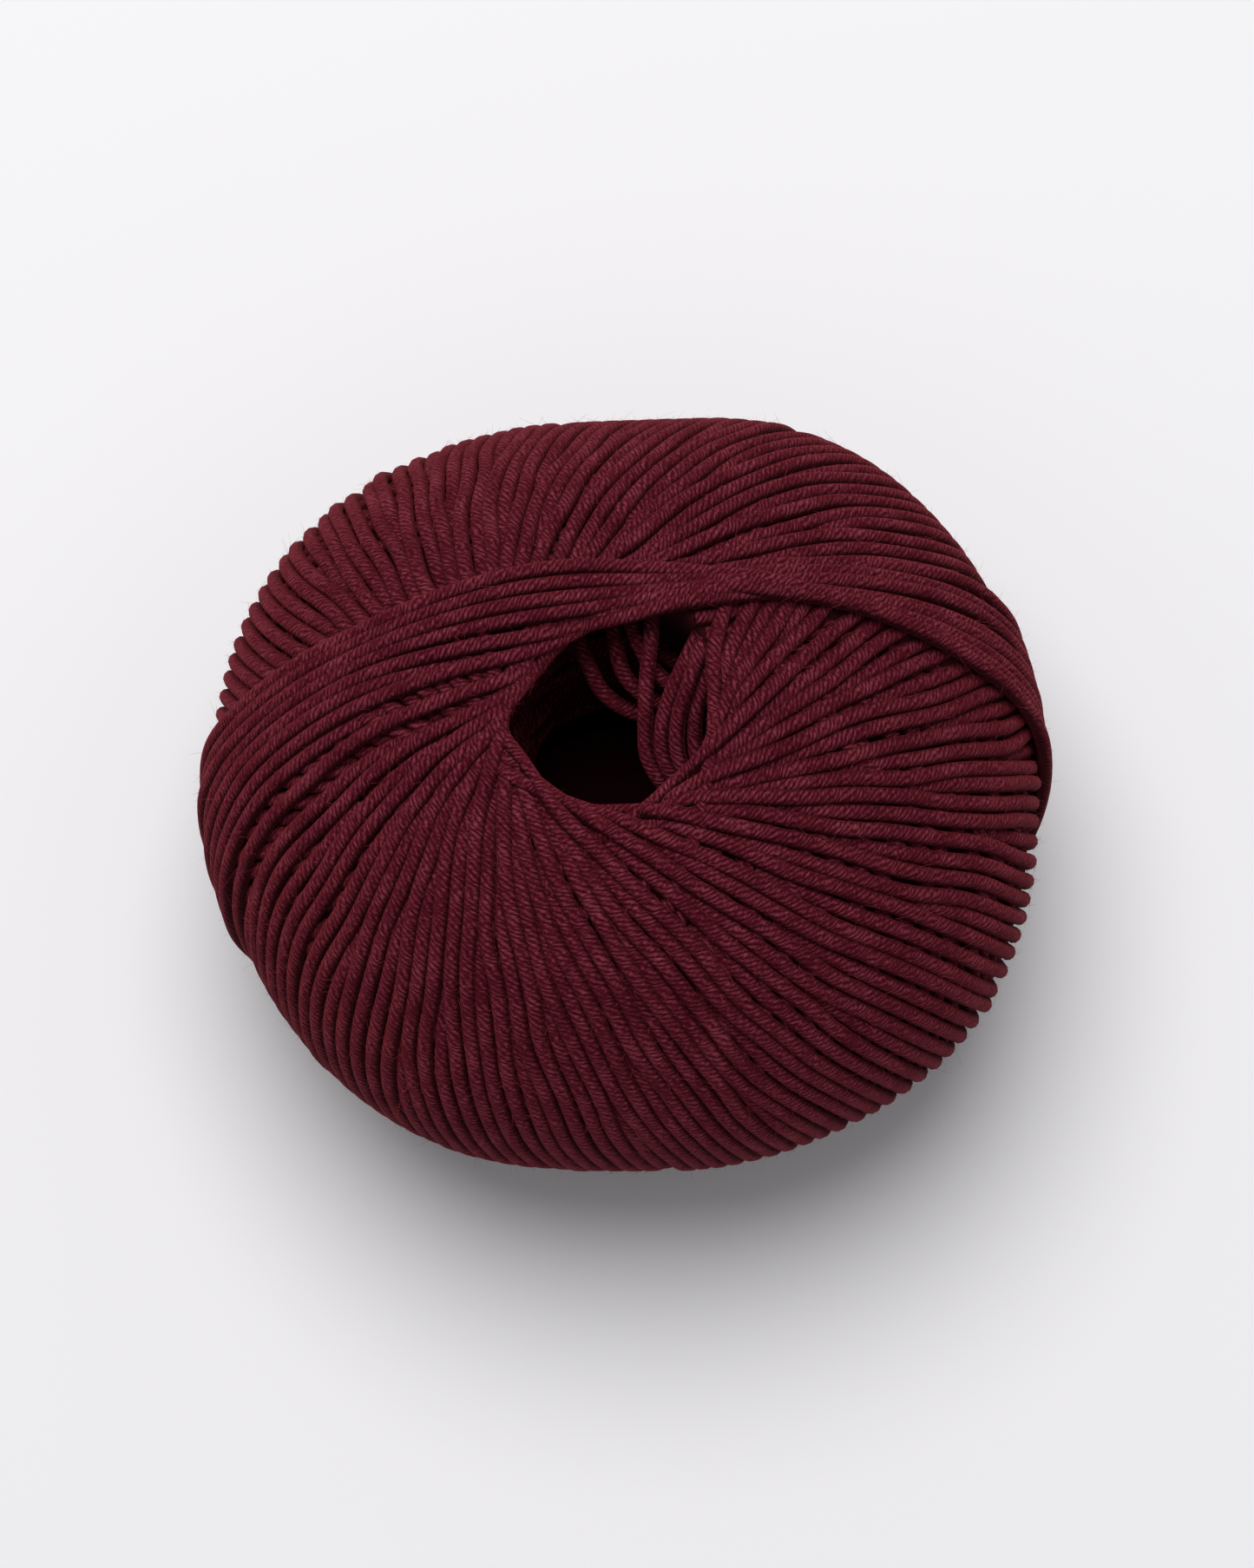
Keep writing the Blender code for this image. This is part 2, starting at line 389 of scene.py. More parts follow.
def pushed_apart(shifts):
    """Moves neighbouring turns aside until those that lie on top are about a strand apart."""
    push = np.zeros_like(shifts)
    steps = np.arange(STEPS_IN_A_TURN)
    side = np.sign(PLACES)
    for age in range(TURNS - 1):
        for older in (age + more for more in NEIGHBOURS if age + more < TURNS):
            path = turn_path(PASS_AT[older], PASS_BY[older], shifts[older])
            aside, place = place_on_turn(path, PASS_AT[age], PASS_BY[age])
            gap = aside - np.interp(place, steps, shifts[age], period=STEPS_IN_A_TURN)
            need = np.clip(CLOSEST - side * gap, 0, PUSH_LIMIT) * places_pushed
            need *= smooth_step(np.minimum(ON_TOP[age], ON_TOP[older]), *PUSH_WIDTHS)
            push[older] += PUSH_SHARE * need * side
            push[age] -= PUSH_SHARE * need * side
    push *= smooth_step(AGES, *PUSH_AGES)[:, None]
    return shifts + np.array([smoothed_turn(row, PUSH_EASE) for row in push])


for _ in range(APART_ROUNDS):
    before = SHIFTS
    SHIFTS = pushed_apart(before)
print("the last push moved the turns by", round(float(np.abs(SHIFTS - before).mean()), 4), "mm on average")
print("turns beside each other are", round(float(np.median(real_pitch)), 2), "mm apart")
print("the squeezed turns move aside by up to", round(float(np.abs(SHIFTS).max()), 1), "mm")

# %% [markdown]
# ## Laying the turns
#
# Each turn is laid on the map in order, from the oldest to the newest. It is under tension, so it bridges the
# small dips and rests on the high places, and it bites a little into what it crosses. The last turns form a
# band, and where they cross each other they may stand only a little above the turns beneath them.

# %% How a strand rests
WAVER = 0.09
WAVER_LENGTH = 18.0
YIELD = 0.60  # how far a strand bites into what it crosses
PRESSED = 0.72  # the next strand's middle rests this share of a strand above
SINK = 2.1  # how far a squeezed turn goes under
PILE_LIMIT = 1.3  # a turn rests no more than this above or below the pile around it
TAUT_ROUNDS = 6
TAUT_WIDTH = 2.8
LAST_TAUT_WIDTH = 2.2
REACH_MARGIN = 1.7
LEAST_WIDTH = 0.25
BAND_STANDS = 0.45  # how far the band may rise above the turns before it
BAND_STEP = 0.08  # and how much more each newer turn of the band may rise


def taut_height(resting):
    """The strand's height, smoothed as tension smooths it."""
    height = resting.copy()
    for _ in range(TAUT_ROUNDS):
        height = np.maximum(resting - YIELD, smoothed_turn(height, TAUT_WIDTH))
    return smoothed_turn(height, LAST_TAUT_WIDTH)


def lay_strand(rest, top, owner, age, shift, height):
    """Raises the resting heights and the top surface along one turn, and notes whose surface it is."""
    across = turn_frame(np.array([PASS_AT[age]]), PASS_BY[age])[2][0]
    reach = math.sin((STRAND + np.abs(shift).max() + REACH_MARGIN) / SPHERE)
    near = np.nonzero(np.abs(CELLS @ across) < reach)[0]
    aside, place = place_on_turn(CELLS[near], PASS_AT[age], PASS_BY[age])
    first = np.floor(place).astype(int)
    share = place - first
    first, second = first % STEPS_IN_A_TURN, (first + 1) % STEPS_IN_A_TURN
    aside = aside - (shift[first] * (1 - share) + shift[second] * share)
    middle = height[first] * (1 - share) + height[second] * share
    width = ON_TOP[age][first] * (1 - share) + ON_TOP[age][second] * share
    for grid, half_width, press in ((rest, STRAND, PRESSED), (top, STRAND / 2, 1.0)):
        inside = (np.abs(aside) < half_width * width) & (width > LEAST_WIDTH)
        cell = near[inside]
        raised = middle[inside] + press * np.sqrt((half_width * width[inside]) ** 2 - aside[inside] ** 2)
        higher = raised > grid[cell]
        grid[cell[higher]] = raised[higher]
        if grid is top:
            owner[cell[higher]] = age


# %% Winding the ball
UNCOVERED = -9.0
LAYER = 1.44
GROWTH = 2 * LAYER / TURNS_IN_A_ROUND  # one round of turns covers the ball twice
TREND_WIDTH = 3.5
TREND_EVERY = 6


def wind_ball():
    """Lays every turn. Gives the turns, the top surface, and whose it is, with and without the last band."""
    random = np.random.default_rng(WIND_SEED)
    rest = np.zeros(len(CELLS))
    top = np.full(len(CELLS), UNCOVERED)
    owner = np.full(len(CELLS), float(TURNS))
    turns = []
    for age in AGES[::-1]:
        if age == AGES[-1] or age % TREND_EVERY == 0 or age < BAND_TURNS:
            trend = blurred(rest, TREND_WIDTH)
        waver = smoothed_turn(random.normal(size=STEPS_IN_A_TURN), WAVER_LENGTH)
        shift = SHIFTS[age] + waver * WAVER / waver.std()
        on_top = ON_TOP[age]
        path = turn_path(PASS_AT[age], PASS_BY[age], shift)
        general = read_map(trend, path)
        resting = general + PILE_LIMIT * np.tanh((read_map(rest, path) - general) / PILE_LIMIT)
        resting = on_top * resting + (1 - on_top) * (general - SINK)
        if age == BAND_TURNS:
            before_band, owner_before_band = trend, owner.copy()
        if age < BAND_TURNS:
            highest = BAND_STANDS + BAND_STEP * max(LAST_TURNS - 1 - age, 0)
            resting = np.minimum(resting, read_map(before_band, path) + highest)
        height = taut_height(resting)
        lay_strand(rest, top, owner, age, shift, height)
        turns.append({"path": path, "height": height, "on_top": on_top, "age": int(age)})
        rest -= GROWTH
        top -= GROWTH
    for turn in turns:
        turn["height"] = turn["height"] - GROWTH * (turn["age"] + 1)
    return turns, top, owner, owner_before_band


turns, top_map, owner_map, owner_under_band = wind_ball()
print("wound", len(turns), "turns")

# %% [markdown]
# ## Levelling the pile
#
# One round of winding raises the whole ball by two strands, so the newest turns stand above the ones that
# they are about to cover. That step shows on the real ball along the newest turn, but the strands are soft
# and it is lower there. So most of the slow rise is taken out, and the lie of single strands over each other
# is left. The rise is read from the pile as it is before the last band, so the band stands a strand above
# the turns that it covers.

# %% Taking out the broad rise
LIFT = 0.95  # the share of the slow rise that is taken out
SOFT_AGE = 6.0
EDGE_WIDTH = 0.8
LEVEL_WIDTH = 9.0
COVER_WIDTH = 2.0
RELIEF_WIDTH = 1.5


def blurred_where(values, share, width):
    """The values smoothed over a width in millimetres, from the cells that have a share."""
    return blurred(values * share, width) / np.maximum(blurred(share, width), 1e-3)


recent = blurred(np.exp(-np.minimum(owner_under_band, TURNS_IN_A_ROUND) / SOFT_AGE), EDGE_WIDTH)
surface_age = np.clip(-SOFT_AGE * np.log(np.clip(recent, 1e-11, 1.0)), 0, TURNS_IN_A_ROUND)
lift = LIFT * GROWTH * surface_age
covered = (top_map > UNCOVERED + 0.5).astype(float)
lifted_top = np.where(covered > 0, top_map + lift, 0.0)
under_band = covered * smooth_step(owner_map, LAST_TURNS, BAND_TURNS)
hills = blurred_where(lifted_top, under_band, LEVEL_WIDTH)
relief_map = np.where(covered > 0, lifted_top - hills, 0.0)
broad_relief = blurred_where(relief_map, covered, RELIEF_WIDTH)
low, middle_level, high = np.percentile(relief_map[covered > 0], (2, 50, 98))
print("relief of the top:", round(float(low), 2), round(float(middle_level), 2), round(float(high), 2), "mm")

# %% How deep each turn lies under the top
WELL_UNDER = 9.0
LEFT_OUT = 50.0
LEAST_ON_TOP = 0.3
LEAST_COVER = 0.25
CLEAR_CORNER = (35, 88)
CLEAR_LEVEL = math.cos(math.radians(17.6))
CLEAR_AGE = 100

cover_share = np.maximum(blurred(covered, COVER_WIDTH), 1e-3)
for turn in turns:
    path = turn["path"]
    hidden = read_map(top_map, path) - (turn["height"] + STRAND / 2)
    hidden[turn["on_top"] < LEAST_ON_TOP] = WELL_UNDER
    hidden[read_map(cover_share, path) < LEAST_COVER] = WELL_UNDER
    if turn["age"] > CLEAR_AGE:
        around = np.degrees(np.arctan2(path[:, 1], path[:, 0])) % 360
        in_corner = (path[:, 2] > CLEAR_LEVEL) & (around > CLEAR_CORNER[0]) & (around < CLEAR_CORNER[1])
        hidden[in_corner] = LEFT_OUT
    turn["hidden"] = hidden
    turn["relief"] = smoothed_turn(turn["height"] + read_map(lift - hills, path), 1.0)

# %% [markdown]
# ## Sweeping the strand
#
# A turn becomes a tube of ten sides. Its UV map holds the way round the strand in U and the distance along
# it in millimetres in V, because the plies are drawn from it. Lengths that lie well under other turns can't
# be seen and are left out, and so are the oldest turns at one corner of the open centre.

# %% Which lengths show
SHOWN_DEPTH = 0.35  # a strand's top may lie this far under the surface and still count as seen
SPARE_STEPS = 6  # each length runs on by so many steps past the place where it goes under
LEAST_STEPS = 3


def shown_runs(turn):
    """First and last step of each stretch of a turn that can be seen."""
    seen = turn["hidden"] < SHOWN_DEPTH
    if not seen.any():
        return []
    wrapped = np.concatenate([seen[-SPARE_STEPS:], seen, seen[:SPARE_STEPS]])
    wide = np.convolve(wrapped, np.ones(2 * SPARE_STEPS + 1), "valid") > 0
    wide &= turn["hidden"] < LEFT_OUT
    edges = np.flatnonzero(np.diff(np.concatenate([[0], wide.astype(int), [0]])))
    return [(a, b) for a, b in zip(edges[::2], edges[1::2]) if b - a > LEAST_STEPS]


# %% A tube along a path
SIDES = 10
STRAND_RADIUS = STRAND / 2000
SQUASH = 0.96


def tube(points, normals, start_length):
    """Vertices, faces and UVs of one closed tube. The normals hold it from turning about itself."""
    tangent = unit(np.gradient(points, axis=0))
    aside = unit(np.cross(tangent, normals))
    lift = np.cross(aside, tangent)
    angle = (np.arange(SIDES) / SIDES * 2 * math.pi)[None, :, None]
    ring = np.cos(angle) * aside[:, None, :] + SQUASH * np.sin(angle) * lift[:, None, :]
    verts = (points[:, None, :] + STRAND_RADIUS * ring).reshape(-1, 3)
    count = len(points)
    i = np.arange(count - 1)[:, None] * SIDES
    j = np.arange(SIDES)[None, :]
    k = (j + 1) % SIDES
    quads = np.stack([i + j, i + SIDES + j, i + SIDES + k, i + k], -1).reshape(-1, 4)
    steps = np.linalg.norm(np.diff(points, axis=0), axis=1)
    length = start_length + np.concatenate([[0], np.cumsum(steps)]) * 1000
    v0 = np.repeat(length[:-1], SIDES)
    v1 = np.repeat(length[1:], SIDES)
    u0 = np.tile(np.arange(SIDES) / SIDES, count - 1)
    u1 = u0 + 1 / SIDES
    uv = np.stack([
        np.stack([u0, v0], -1), np.stack([u0, v1], -1), np.stack([u1, v1], -1), np.stack([u1, v0], -1),
    ], 1)
    return verts, quads, uv


def joined_tubes(name, tubes):
    """One mesh object from many tubes, with their ends closed."""
    verts, loops, sizes, uvs, base = [], [], [], [], 0
    for points, faces, uv in tubes:
        verts.append(points)
        loops.append((faces + base).reshape(-1))
        sizes.append(np.full(len(faces), 4))
        uvs.append(uv.reshape(-1, 2))
        sides = np.arange(SIDES)
        for ring, length in ((sides, uv[0, 0, 1]), (len(points) - 1 - sides, uv[-1, 1, 1])):
            loops.append(ring + base)
            sizes.append(np.array([SIDES]))
            uvs.append(np.stack([sides / SIDES, np.full(SIDES, length)], -1))
        base += len(points)
    verts = np.concatenate(verts)
    loops = np.concatenate(loops)
    sizes = np.concatenate(sizes)
    mesh = bpy.data.meshes.new(name)
    mesh.vertices.add(len(verts))
    mesh.vertices.foreach_set("co", verts.astype(np.float32).ravel())
    mesh.loops.add(len(loops))
    mesh.loops.foreach_set("vertex_index", loops.astype(np.int32))
    mesh.polygons.add(len(sizes))
    starts = np.concatenate([[0], np.cumsum(sizes)[:-1]])
    mesh.polygons.foreach_set("loop_start", starts.astype(np.int32))
    mesh.polygons.foreach_set("loop_total", sizes.astype(np.int32))
    layer = mesh.uv_layers.new(name="strand")
    layer.uv.foreach_set("vector", np.concatenate(uvs).astype(np.float32).ravel())
    mesh.update(calc_edges=True)
    mesh.validate()
    mesh.shade_smooth()
    piece = bpy.data.objects.new(name, mesh)
    bpy.context.scene.collection.objects.link(piece)
    print(name, "has", int((sizes - 2).sum()), "triangles")
    return piece


# %% The turns as tubes
GROUP_TRIANGLES = 170000
START_STEP = 37.0  # in millimetres of strand


def turn_tubes(turn):
    """A tube for each stretch of a turn that shows. The start lengths differ, so no two turns look alike."""
    tubes = []
    for first, last in shown_runs(turn):
        path = turn["path"][first:last]
        lift = turn["relief"][first:last] / 1000
        normal = form_normal(path)
        points = form_point(path) + normal * lift[:, None]
        points[:, 2] = np.maximum(points[:, 2], STRAND_RADIUS * SQUASH)
        tubes.append(tube(points, normal, turn["age"] * START_STEP + first))
    return tubes


def in_groups(tubes):
    """The tubes in their order, in groups that stay below a number of triangles."""
    groups, current, triangles = [], [], 0
    for made in tubes:
        size = 2 * len(made[1]) + 2 * (SIDES - 2)
        if triangles + size > GROUP_TRIANGLES:
            groups.append(current)
            current, triangles = [], 0
        current.append(made)
        triangles += size
    return groups + [current]


all_tubes = [made for turn in turns for made in turn_tubes(turn)]
turn_pieces = [
    joined_tubes(f"yarn_turns_{number}", group) for number, group in enumerate(in_groups(all_tubes), 1)
]

# %% [markdown]
# ## Inside the open centre
#
# The wall of the open centre is made of the same turns, layer under layer, where each passes the spindle.
# The spindle has been pulled out, so a few of the innermost turns hang loose into the hole. These strands are
# laid in millimetres from the hole's axis: first the wall, row under row, and then the loose strands one by
# one. The wall's upper turns are left out on the side where the loose strands come from.

# %% The wall's turns
WALL_LAYERS = 9
LAYER_DROP = 3.4
TURNS_IN_A_LAYER = 13
WALL_TOP = 55.5
WALL_RADII = (13.2, 10.6)
WALL_HALF_LENGTH = 8.5
WALL_BEND = 26.0
WALL_SEED = 11
WALL_SCATTER = 0.35
WALL_ADVANCE = 0.3815  # of a whole turn round the hole, from one strand to the next
WALL_ANGLE_NOISE = 0.08
WALL_TILT_NOISE = 0.06
WALL_GAP_AT = math.radians(48)
WALL_GAP_DEPTH = 6
WALL_GAP_COSINE = 0.75
LEAN = 0.6
WALL_START, WALL_START_STEP = 500, 31.0
LOOSE_START, LOOSE_START_STEP = 900, 41.0

random = np.random.default_rng(WALL_SEED)


def to_metres(points):
    """Points from the hole's axis, in millimetres, as points of the scene."""
    return np.asarray(points) / 1000 + np.array([CENTRE[0], CENTRE[1], 0.0])


def up_and_inward(points):
    """The direction in which each point of a strand faces: up, and leaning towards the hole's axis."""
    outward = unit(points[:, :2] - np.array(CENTRE))
    return np.concatenate([-LEAN * outward, np.full((len(points), 1), 1.0)], 1)


def wall_tubes():
    """Short lengths of the wall's turns, each touching the hole at its middle."""
    tubes = []
    along = np.arange(-WALL_HALF_LENGTH, WALL_HALF_LENGTH + 0.1, 1.0)
    for number in range(WALL_LAYERS * TURNS_IN_A_LAYER):
        depth = LAYER_DROP * number / TURNS_IN_A_LAYER + WALL_SCATTER * random.normal()
        share = number / (WALL_LAYERS * TURNS_IN_A_LAYER)
        radius = WALL_RADII[0] + (WALL_RADII[1] - WALL_RADII[0]) * share + WALL_SCATTER * random.normal()
        at = NEWEST_AT + 2 * math.pi * number * WALL_ADVANCE + WALL_ANGLE_NOISE * random.normal()
        tilt = WALL_TILT_NOISE * random.normal()
        if depth < WALL_GAP_DEPTH and math.cos(at - WALL_GAP_AT) > WALL_GAP_COSINE:
            continue
        points = np.stack([
            radius * math.cos(at) - along * math.sin(at),
            radius * math.sin(at) + along * math.cos(at),
            WALL_TOP - depth - along**2 / (2 * WALL_BEND) + tilt * along,
        ], 1)
        points = to_metres(points)
        tubes.append(tube(points, up_and_inward(points), WALL_START + WALL_START_STEP * number))
    return tubes


# %% The loose strands
LOOSE_STRANDS = (
    (
        (4.7, 15.0, 58.4), (4.4, 12.1, 59.0), (4.2, 9.8, 59.0), (3.9, 7.4, 58.2), (3.7, 5.1, 57.2),
        (3.6, 1.0, 55.5), (3.8, -2.1, 54.3), (4.9, -4.2, 53.0), (6.9, -6.1, 51.0), (10.0, -8.0, 48.5),
    ),
    (
        (12.0, 16.0, 58.6), (10.5, 12.6, 59.7), (9.5, 10.3, 59.9), (7.4, 6.2, 58.6), (6.1, 3.2, 57.2),
        (5.5, 0.6, 56.2), (5.5, -1.8, 55.0), (6.3, -4.0, 54.0), (8.1, -5.7, 52.0), (11.0, -7.4, 49.0),
    ),
    (
        (13.6, 15.4, 58.8), (11.6, 12.0, 60.0), (10.2, 9.4, 60.4), (9.0, 6.5, 59.6), (8.0, 3.8, 58.4),
        (7.3, 1.6, 57.4), (7.1, -1.2, 56.0), (7.6, -3.4, 55.0), (9.1, -4.9, 53.0), (11.6, -6.4, 50.5),
    ),
    (
        (-4.4, 14.6, 53.0), (-3.9, 12.4, 53.0), (-3.5, 10.2, 53.0), (-2.6, 8.3, 52.6), (-1.4, 6.0, 52.0),
        (0.6, 4.3, 51.6), (3.1, 3.3, 51.2), (6.4, 2.8, 50.6), (11.0, 2.4, 49.5),
    ),
    (
        (14.6, 12.4, 58.2), (12.4, 9.6, 59.0), (10.9, 7.2, 58.8), (9.9, 4.6, 57.8), (9.2, 2.0, 56.6),
        (9.1, -0.8, 55.2), (9.6, -3.0, 54.0), (11.4, -5.0, 52.0),
    ),
    (
        (-0.4, 14.6, 55.4), (0.0, 12.2, 55.4), (0.4, 9.8, 55.2), (1.0, 7.6, 54.6), (2.6, 5.5, 54.0),
        (5.4, 4.0, 53.2), (10.6, 2.6, 52.0),
    ),
    (
        (1.6, 14.4, 57.2), (2.1, 12.1, 57.2), (2.9, 10.0, 57.0), (4.0, 7.9, 56.4), (6.0, 6.0, 55.6),
        (10.4, 4.2, 54.0),
    ),
)


def smooth_line(corners, step=1.0):
    """Points a step apart on a smooth curve through the corners."""
    corners = np.asarray(corners)
    before = np.vstack([2 * corners[0] - corners[1], corners, 2 * corners[-1] - corners[-2]])
    points = []
    for a, b, c, d in zip(before, before[1:], before[2:], before[3:]):
        count = max(int(round(np.linalg.norm(c - b) / step)), 1)
        share = (np.arange(count) / count)[:, None]
        points.append(0.5 * (2 * b + (c - a) * share + (2 * a - 5 * b + 4 * c - d) * share**2
                             + (3 * b - a - 3 * c + d) * share**3))
    return np.vstack(points + [corners[-1:]])


def loose_tubes():
    """The loose strands, each from its upper end to its lower one."""
    tubes = []
    for number, corners in enumerate(LOOSE_STRANDS):
        points = to_metres(smooth_line(corners))
        tubes.append(tube(points, up_and_inward(points), LOOSE_START + LOOSE_START_STEP * number))
    return tubes


centre_piece = joined_tubes("centre_turns", wall_tubes() + loose_tubes())

# %% [markdown]
# ## Under the turns
#
# Older layers of the same yarn fill the ball. They only show as darkness between the strands and round the
# open centre, so one closed surface stands for them, a little below the turns. It is a darker red than the
# yarn, as painted shade for that darkness.

# %% The layers beneath
CORE_DEPTH = 0.0019
CORE_COLUMNS = 144
CORE_FLOOR_HEIGHT = 0.0165
CORE_FLOOR_RADIUS = 0.0108
CORE_WALL_RADIUS = 0.0138
CORE_RIM_DEPTH = 0.0045
CORE_RIM_ANGLE = 1.2
CORE_FOOT_ANGLE = 0.06
CORE_SIDE_ROWS = 70
CORE_WALL_ROWS = 12
CORE_FLOOR_RADII = (0.002, 0.005)
CORE_CLEARANCE = 0.0006


def core_rows():
    """Rings of points from the floor of the open centre, up its wall, over the side and under the foot."""
    around = np.arange(CORE_COLUMNS) / CORE_COLUMNS * 2 * math.pi
    ring = np.stack([np.cos(around), np.sin(around), 0 * around], 1)
    middle = np.array([CENTRE[0], CENTRE[1], 0.0])
    first = np.radians(usual_pass_angle(around) + CORE_RIM_ANGLE)
    side = []
    for share in np.linspace(0, 1, CORE_SIDE_ROWS):
        polar = first + (math.pi - CORE_FOOT_ANGLE - first) * share
        direction = np.stack([np.sin(polar) * ring[:, 0], np.sin(polar) * ring[:, 1], np.cos(polar)], 1)
        depth = CORE_DEPTH - read_map(broad_relief, direction) / 1000
        points = form_point(direction) - depth[:, None] * form_normal(direction)
        points[:, 2] = np.maximum(points[:, 2], CORE_CLEARANCE)
        side.append(points)
    top = side[0][:, 2].mean() - CORE_RIM_DEPTH
    wall = []
    for share in np.linspace(0, 1, CORE_WALL_ROWS):
        radius = CORE_FLOOR_RADIUS + (CORE_WALL_RADIUS - CORE_FLOOR_RADIUS) * share
        height = CORE_FLOOR_HEIGHT * (1 - share) + top * share
        wall.append(middle + radius * ring + np.array([0, 0, height]))
    floor = [middle + radius * ring + np.array([0, 0, CORE_FLOOR_HEIGHT]) for radius in CORE_FLOOR_RADII]
    return floor + wall + side


def core_piece():
    """One closed surface through the rings."""
    rows = core_rows()
    count = CORE_COLUMNS
    faces = []
    for start in range(0, (len(rows) - 1) * count, count):
        for column in range(count):
            this, after = start + column, start + (column + 1) % count
            faces.append((this + count, after + count, after, this))
    faces.append(tuple(range(count)))
    faces.append(tuple(reversed(range((len(rows) - 1) * count, len(rows) * count))))
    mesh = bpy.data.meshes.new("yarn_beneath")
    mesh.from_pydata(np.concatenate(rows).tolist(), [], faces)
    mesh.validate()
    mesh.shade_smooth()
    piece = bpy.data.objects.new("yarn_beneath", mesh)
    bpy.context.scene.collection.objects.link(piece)
    print("yarn_beneath has", sum(len(face) - 2 for face in faces), "triangles")
    return piece


core = core_piece()

# %% [markdown]
# ## The yarn
#
# The strand is six fine plies twisted together, so its surface is a row of slanting ridges. Each ply is a
# little fuzzy, and the dye isn't even. Each ply's crown has a painted highlight, and the valleys between
# plies have painted shade. The pattern reads the strand's own UV map, so it follows every turn. The colour
# also darkens from the strand's crown to its sides and underside: this is painted shade for the valleys
# between strands, where little light comes back out.

# %% Node helpers
def plain_material(name, colour, roughness, specular):
    """A material of one colour all over."""
    material = bpy.data.materials.new(name)
    material.use_nodes = True
    shader = material.node_tree.nodes["Principled BSDF"]
    shader.inputs["Base Color"].default_value = colour
    shader.inputs["Roughness"].default_value = roughness
    shader.inputs["Specular IOR Level"].default_value = specular
    return material


def math_node(nodes, links, operation, first, second=None):
    """One calculation. Each input is a number or another node's output."""
    node = nodes.new("ShaderNodeMath")
    node.operation = operation
    for socket, value in zip(node.inputs, (first, second)):
        if value is None:
            continue
        if isinstance(value, (int, float)):
            socket.default_value = value
        else:
            links.new(value, socket)
    return node.outputs[0]


# %% The yarn's material
PLIES = 6
PLY_STEP = 0.72  # from one ply's crown to the next along the strand, in millimetres
PLY_WAVER = 2.2
WAVER_SCALE = 0.45
FLECK_SCALE = 1.9
FIBRE_SCALE = 7.0
DYE_SCALE = 0.16
# Painted highlight on the ply crowns and painted shade between the plies
PLY_PAINTED_SHADE_SHARE = 0.30
FLECK_SHARE = 1.05
FIBRE_SHARE = 0.22
DYE_SHARE = 0.30
LEVEL_DROP = 0.50
SHADE_RED = (0.017, 0.0010, 0.0026, 1)
DEEP_RED = (0.070, 0.0046, 0.0108, 1)
FLECK_RED = (0.25, 0.050, 0.072, 1)
SHEEN_RED = (0.85, 0.08, 0.11, 1)
# Painted shade between strands: the colour is scaled down from the crown to the sides over this range
PAINTED_SIDE_SHADE_RANGE = {"From Min": 0.22, "From Max": 0.95, "To Min": 0.14, "To Max": 1.0}


